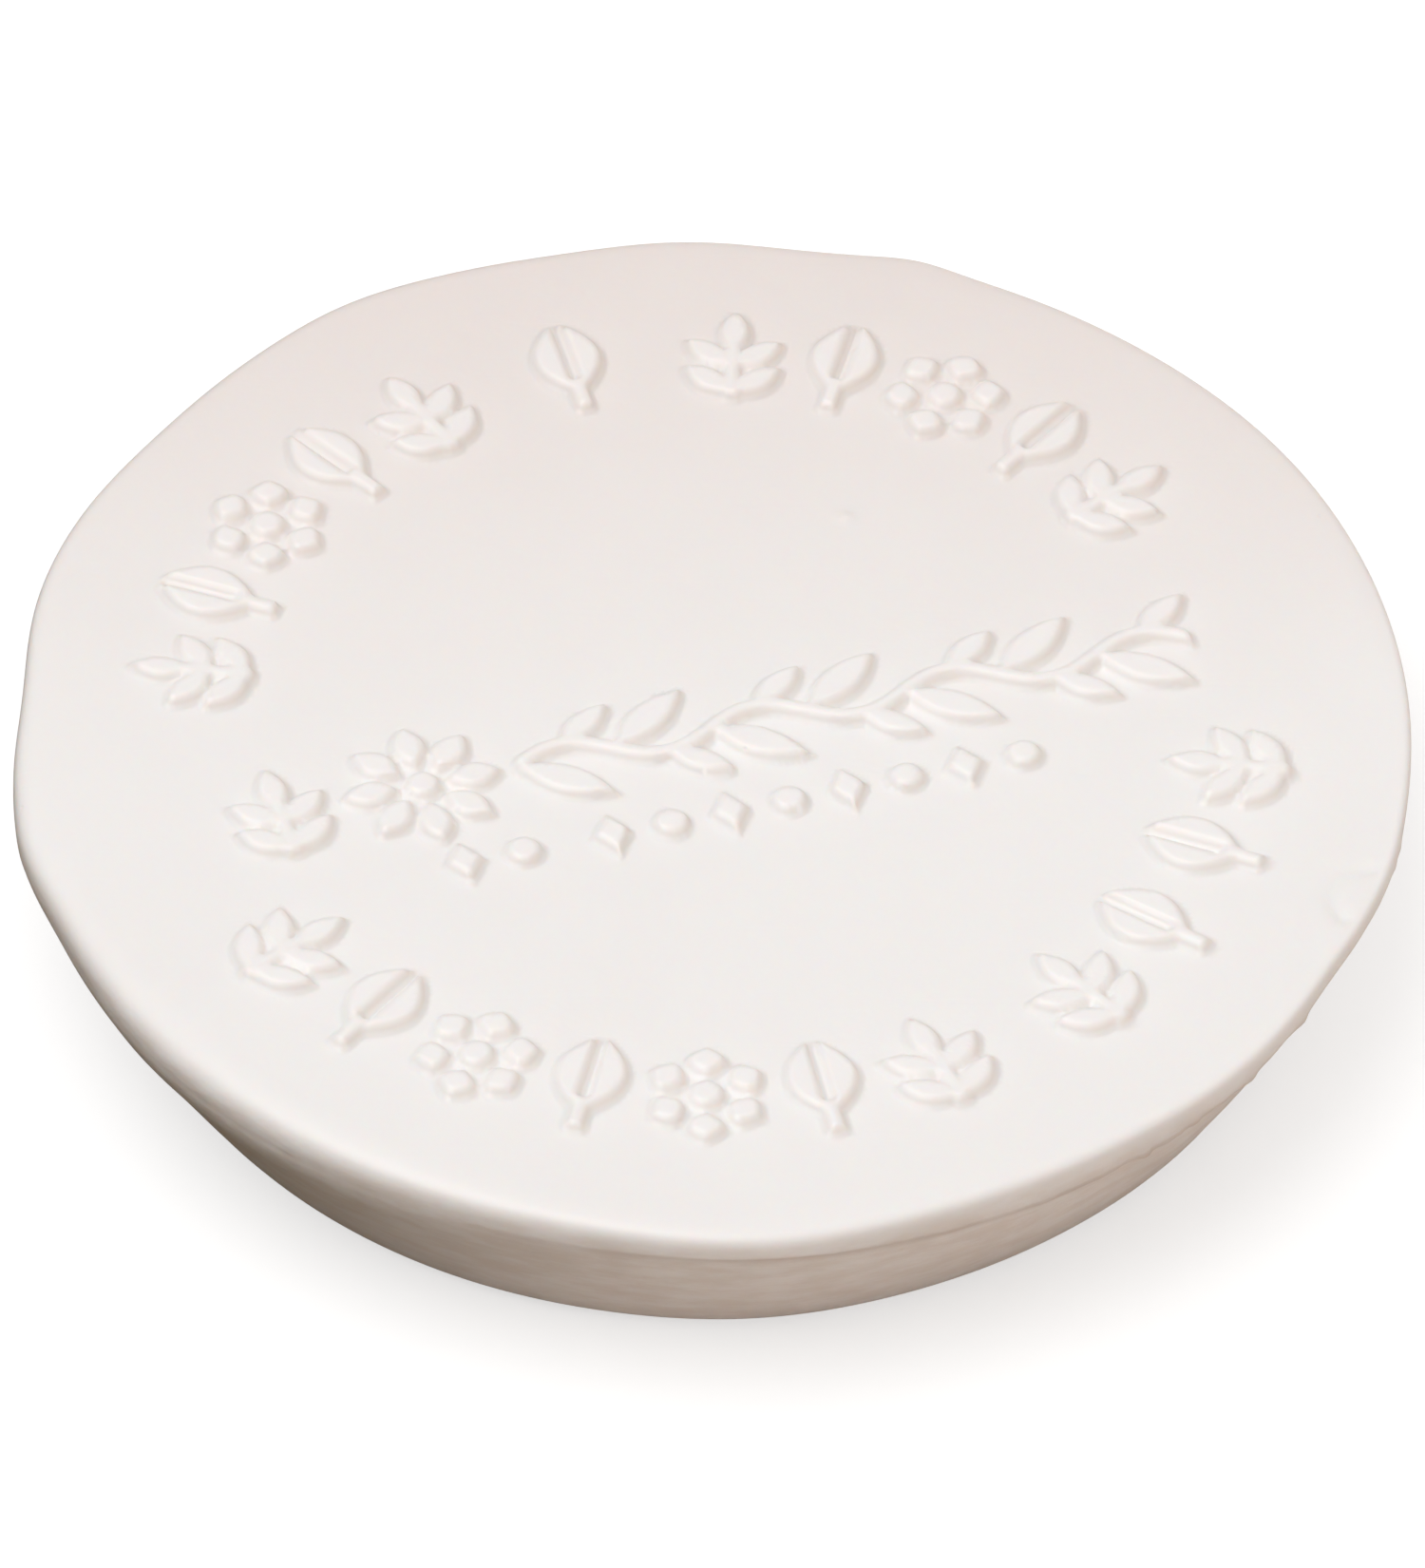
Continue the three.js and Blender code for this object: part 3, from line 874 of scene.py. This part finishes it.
def floor_sheet():
    """A pale sheet: flat round the cake, and rising far behind it all round by the square of the way."""
    theta = 2 * math.pi * np.arange(FLOOR_SPOKES) / FLOOR_SPOKES
    flat = np.linspace(FLOOR_MIDDLE, FLOOR_FLAT, FLAT_RINGS)
    rising = np.linspace(FLOOR_FLAT, FLOOR_RADIUS, RISING_RINGS + 1)[1:]
    radii = np.concatenate([flat, rising])
    rise = np.maximum(radii - FLOOR_FLAT, 0) ** 2
    plan = radii[:, None] * cis(theta)
    height = rise[:, None] + 0 * theta - FLOOR_GAP
    vertices = np.column_stack([plan.real.ravel(), plan.imag.ravel(), height.ravel()])
    vertices = np.vstack([vertices, [0, 0, -FLOOR_GAP]])
    index = np.arange(plan.size).reshape(plan.shape)
    middle = np.full(theta.size, plan.size)
    fans = np.column_stack([middle, index[0], np.roll(index[0], -1)])
    return vertices, quads(index).tolist() + fans.tolist()


def direction(azimuth, elevation):
    """The unit direction towards a plan azimuth and an elevation."""
    level = math.cos(elevation)
    return Vector((math.cos(azimuth) * level, math.sin(azimuth) * level, math.sin(elevation)))


def add_sun(name, source, spread, strength, colour):
    """A soft, even light from a direction, spread over an angle."""
    lamp = bpy.data.lights.new(name, "SUN")
    lamp.energy = strength
    lamp.angle = spread
    lamp.color = colour
    made = bpy.data.objects.new(name, lamp)
    bpy.context.scene.collection.objects.link(made)
    made.rotation_euler = source.to_track_quat("Z", "Y").to_euler()
    return made


def studio_dome(look):
    """A soft dome of light, whose strength rises from the horizon's to the dome's as a direction turns
    towards the dome's bright middle: eased from square to it to straight at it.
    """
    world = bpy.data.worlds.new("studio_dome")
    world.use_nodes = True
    tree = world.node_tree
    way = add_node(tree, "ShaderNodeTexCoord").outputs["Generated"]
    middle = direction(look.dome_azimuth, look.dome_elevation)
    facing = add_node(tree, "ShaderNodeVectorMath", {0: way, 1: middle}, operation="DOT_PRODUCT")
    level = add_node(
        tree,
        "ShaderNodeMapRange",
        {"Value": facing.outputs["Value"], "To Min": look.horizon, "To Max": look.dome},
        interpolation_type="SMOOTHSTEP",
    ).outputs["Result"]
    background = tree.nodes["Background"]
    background.inputs["Color"].default_value = DOME_COLOUR
    tree.links.new(level, background.inputs["Strength"])
    return world


# --- Settings, operators and panel ---


class SoapLook(bpy.types.PropertyGroup):
    """The soap's colours and finish."""

    # Painted shade: this darker, pinker colour stands in for the dimmer light at the back, and is also one
    # end of the soap's random mottling
    colour: bpy.props.FloatVectorProperty(
        name="Soap",
        description="The pinker soap colour, full at the back",
        subtype="COLOR",
        default=(0.76, 0.695, 0.665),
        min=0,
        max=1,
    )
    # Painted light: this lighter colour stands in for the brighter light at the front, and is also one end
    # of the soap's random mottling
    ivory: bpy.props.FloatVectorProperty(
        name="Ivory",
        description="The lighter soap colour, full at the front",
        subtype="COLOR",
        default=(0.82, 0.80, 0.785),
        min=0,
        max=1,
    )
    pressed: bpy.props.FloatVectorProperty(
        name="Pressed",
        description="Colour of the tops of the relief, which the die has pressed smooth",
        subtype="COLOR",
        default=(0.85, 0.83, 0.82),
        min=0,
        max=1,
    )
    # Painted shade on the relief's walls that face +X, away from the key light
    wall_shade_colour: bpy.props.FloatVectorProperty(
        name="Warm",
        description="Colour of the relief's walls that face +X",
        subtype="COLOR",
        default=(0.80, 0.68, 0.58),
        min=0,
        max=1,
    )
    # Partly painted shade: the side's darker colour, thin all over the side and stronger in the soap's own
    # clouds
    flank: bpy.props.FloatVectorProperty(
        name="Side",
        description="Colour of the darker clouds on the side",
        subtype="COLOR",
        default=(0.66, 0.575, 0.51),
        min=0,
        max=1,
    )
    # Painted shadow: the dark line under the land
    seam: bpy.props.FloatVectorProperty(
        name="Seam",
        description="Colour of the line between the land and the side",
        subtype="COLOR",
        default=(0.42, 0.33, 0.27),
        min=0,
        max=1,
    )
    # How much painted shadow the seam takes
    seam_shadow: bpy.props.FloatProperty(
        name="Seam shadow",
        description="How much of the seam's colour shows",
        subtype="FACTOR",
        default=0.6,
        min=0,
        max=1,
    )
    # How much painted shade the relief's +X walls take
    wall_shade_share: bpy.props.FloatProperty(
        name="Wall shade share",
        description="How much of the warm colour shows on those walls",
        subtype="FACTOR",
        default=0.35,
        min=0,
        max=1,
    )
    roughness: bpy.props.FloatProperty(
        name="Roughness",
        description="Roughness of the soap's satin skin",
        subtype="FACTOR",
        default=0.36,
        min=0,
        max=1,
    )
    translucency: bpy.props.FloatProperty(
        name="Translucency",
        description="Share of the light that enters the soap and comes out nearby",
        subtype="FACTOR",
        default=0.5,
        min=0,
        max=1,
    )
    scatter: bpy.props.FloatProperty(
        name="Scatter",
        description="How far light spreads inside the soap",
        unit="LENGTH",
        default=0.5 * MM,
        min=0,
        max=10 * MM,
    )


class StageLook(bpy.types.PropertyGroup):
    """The floor, the lights and the camera."""

    floor: bpy.props.FloatVectorProperty(
        name="Floor",
        description="Colour of the floor",
        subtype="COLOR",
        default=(0.50, 0.50, 0.50),
        min=0,
        max=1,
    )
    glow: bpy.props.FloatProperty(
        name="Glow",
        description="Light of the floor's own, as of a light table, that keeps the cake's shadow pale",
        default=0.6,
        min=0,
        max=2,
    )
    bounce: bpy.props.FloatVectorProperty(
        name="Bounce",
        description="Colour of the light that the floor throws back on the cake",
        subtype="COLOR",
        default=(0.72, 0.64, 0.58),
        min=0,
        max=1,
    )
    shade: bpy.props.FloatVectorProperty(
        name="Shade",
        description="Colour of that light on the left, where it is dimmer",
        subtype="COLOR",
        default=(0.125, 0.09, 0.05),
        min=0,
        max=1,
    )
    key: bpy.props.FloatProperty(
        name="Key light",
        description="Strength of the soft light from high on the left",
        default=1.3,
        min=0,
    )
    key_azimuth: bpy.props.FloatProperty(
        name="Key azimuth",
        description="Plan direction that the key light comes from",
        subtype="ANGLE",
        default=math.radians(205),
    )
    key_elevation: bpy.props.FloatProperty(
        name="Key elevation",
        description="Height of the key light above the horizon",
        subtype="ANGLE",
        default=math.radians(66),
    )
    key_spread: bpy.props.FloatProperty(
        name="Key spread",
        description="Angle that the key light is spread over",
        subtype="ANGLE",
        default=math.radians(45),
    )
    fill: bpy.props.FloatProperty(
        name="Fill light",
        description="Strength of the low light from the front right",
        default=0.8,
        min=0,
    )
    fill_azimuth: bpy.props.FloatProperty(
        name="Fill azimuth",
        description="Plan direction that the fill light comes from",
        subtype="ANGLE",
        default=math.radians(-30),
    )
    fill_elevation: bpy.props.FloatProperty(
        name="Fill elevation",
        description="Height of the fill light above the horizon",
        subtype="ANGLE",
        default=math.radians(12),
    )
    fill_spread: bpy.props.FloatProperty(
        name="Fill spread",
        description="Angle that the fill light is spread over",
        subtype="ANGLE",
        default=math.radians(30),
    )
    dome: bpy.props.FloatProperty(
        name="Dome",
        description="Strength of the dome of light at its bright middle",
        default=0.96,
        min=0,
    )
    horizon: bpy.props.FloatProperty(
        name="Horizon",
        description="Strength of the dome of light at the horizon",
        default=0.05,
        min=0,
    )
    dome_azimuth: bpy.props.FloatProperty(
        name="Dome azimuth",
        description="Plan direction of the bright middle of the dome",
        subtype="ANGLE",
        default=math.radians(180),
    )
    dome_elevation: bpy.props.FloatProperty(
        name="Dome elevation",
        description="Height of the bright middle of the dome above the horizon",
        subtype="ANGLE",
        default=math.radians(80),
    )
    distance: bpy.props.FloatProperty(
        name="Distance",
        description="From the camera to the middle of the top",
        unit="LENGTH",
        default=1.305,
        min=0.1,
    )
    elevation: bpy.props.FloatProperty(
        name="Elevation",
        description="Height of the camera above the horizon",
        subtype="ANGLE",
        default=math.radians(45.33),
    )


class SOAP_OT_cake(bpy.types.Operator):
    """Build the pressed cake with its ornament, worn edge and waxy soap"""

    bl_idname = "soap.cake"
    bl_label = "Soap cake"

    def execute(self, context):
        vertices, faces, shares = skin()
        material = soap_material(context.scene.soap_look)
        cake = add_mesh("pressed_soap", vertices, faces, material, shares)
        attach(cake, "root")
        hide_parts("soap_cake")
        return {"FINISHED"}


class SOAP_OT_stage(bpy.types.Operator):
    """Build the floor, the lights and the camera"""

    bl_idname = "soap.stage"
    bl_label = "Stage"

    def execute(self, context):
        scene = context.scene
        look = scene.soap_stage
        vertices, faces = floor_sheet()
        floor = add_mesh("floor", vertices, faces, floor_material(look))

        from_key = direction(look.key_azimuth, look.key_elevation)
        add_sun("key_light", from_key, look.key_spread, look.key, KEY_COLOUR)
        from_fill = direction(look.fill_azimuth, look.fill_elevation)
        add_sun("fill_light", from_fill, look.fill_spread, look.fill, FILL_COLOUR)
        scene.world = studio_dome(look)
        scene.view_settings.view_transform = "Standard"

        lens = bpy.data.cameras.new("camera")
        lens.lens = LENS
        lens.sensor_width = SENSOR
        camera = bpy.data.objects.new("camera", lens)
        scene.collection.objects.link(camera)
        back = Vector((0, -math.cos(look.elevation), math.sin(look.elevation)))
        camera.location = AIM + back * look.distance
        tilt = Euler((UP - look.elevation, 0, 0)).to_matrix()
        roll = Euler((0, 0, CAMERA_ROLL)).to_matrix()
        camera.rotation_euler = (tilt @ roll).to_euler()
        lens.clip_end = 2 * FLOOR_RADIUS + look.distance
        scene.camera = camera
        return {"FINISHED"}


class SOAP_PT_sidebar(bpy.types.Panel):
    """The soap's operators and settings in the 3D view's sidebar"""

    bl_idname = "SOAP_PT_sidebar"
    bl_label = "Shaving soap puck"
    bl_space_type = "VIEW_3D"
    bl_region_type = "UI"
    bl_category = "Soap"

    def draw(self, context):
        for operator in (SOAP_OT_cake, SOAP_OT_stage):
            self.layout.operator(operator.bl_idname)
        for settings in (context.scene.soap_look, context.scene.soap_stage):
            for name in settings.__annotations__:
                self.layout.prop(settings, name)


CLASSES = (SoapLook, StageLook, SOAP_OT_cake, SOAP_OT_stage, SOAP_PT_sidebar)


def register():
    for cls in CLASSES:
        bpy.utils.register_class(cls)
    bpy.types.Scene.soap_look = bpy.props.PointerProperty(type=SoapLook)
    bpy.types.Scene.soap_stage = bpy.props.PointerProperty(type=StageLook)


def unregister():
    del bpy.types.Scene.soap_stage
    del bpy.types.Scene.soap_look
    for cls in reversed(CLASSES):
        bpy.utils.unregister_class(cls)


def main():
    register()
    bpy.ops.soap.cake()
    bpy.ops.soap.stage()


if __name__ == "__main__":
    main()
